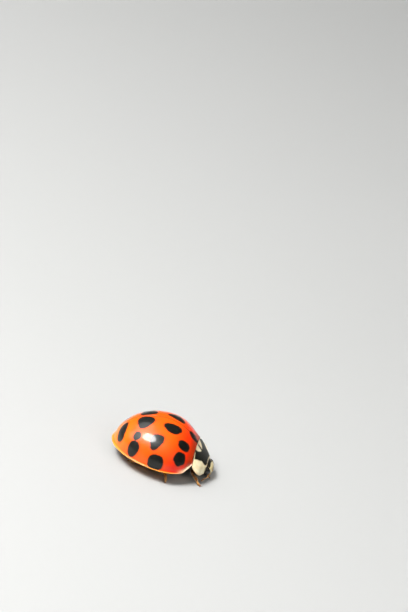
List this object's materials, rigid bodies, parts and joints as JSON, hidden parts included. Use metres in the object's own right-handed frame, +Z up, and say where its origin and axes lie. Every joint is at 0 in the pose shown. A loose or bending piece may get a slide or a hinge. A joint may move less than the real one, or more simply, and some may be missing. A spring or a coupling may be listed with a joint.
{
  "type": "ladybird beetle figure",
  "caption": "Still, life-size harlequin ladybird standing with its spotted wing cases closed: domed body, neck shield, bent head, short legs and feelers.",
  "frame": {"origin": "middle of the box round the whole beetle, on the ground under its feet", "axes": "+X towards the head, along the body; +Y to the beetle's left; +Z up from the ground"},
  "size_m": [0.0072, 0.0062, 0.0032],
  "materials": {
    "elytra": "glossy orange-red wing cases with soft-edged black spots",
    "neck_shield": "glossy cream neck shield with a black M",
    "black_chitin": "satin black body shell, finely pitted and haired",
    "belly": "satin orange-brown belly plates, darker along the middle",
    "face": "satin cream-yellow face on a black head",
    "eye": "glossy black faceted eyes",
    "limb": "satin orange-brown legs and feelers, finely haired"
  },
  "bodies": {
    "root": {"elytron_right": "elytra", "elytron_left": "elytra", "scutellum": "black_chitin", "thorax_underside": "black_chitin", "abdomen": "belly", "eye_right": "eye", "antenna_right": "limb", "palp_right": "limb", "eye_left": "eye", "antenna_left": "limb", "palp_left": "limb", "head": "face", "pronotum": "neck_shield", "prothorax_underside": "black_chitin", "coxa_front_right": "limb", "femur_front_right": "limb", "tibia_front_right": "limb", "tarsus_front_right": "limb", "coxa_front_left": "limb", "femur_front_left": "limb", "tibia_front_left": "limb", "tarsus_front_left": "limb", "coxa_middle_right": "limb", "femur_middle_right": "limb", "tibia_middle_right": "limb", "tarsus_middle_right": "limb", "coxa_middle_left": "limb", "femur_middle_left": "limb", "tibia_middle_left": "limb", "tarsus_middle_left": "limb", "coxa_hind_right": "limb", "femur_hind_right": "limb", "tibia_hind_right": "limb", "tarsus_hind_right": "limb", "coxa_hind_left": "limb", "femur_hind_left": "limb", "tibia_hind_left": "limb", "tarsus_hind_left": "limb"}
  },
  "joints": []
}
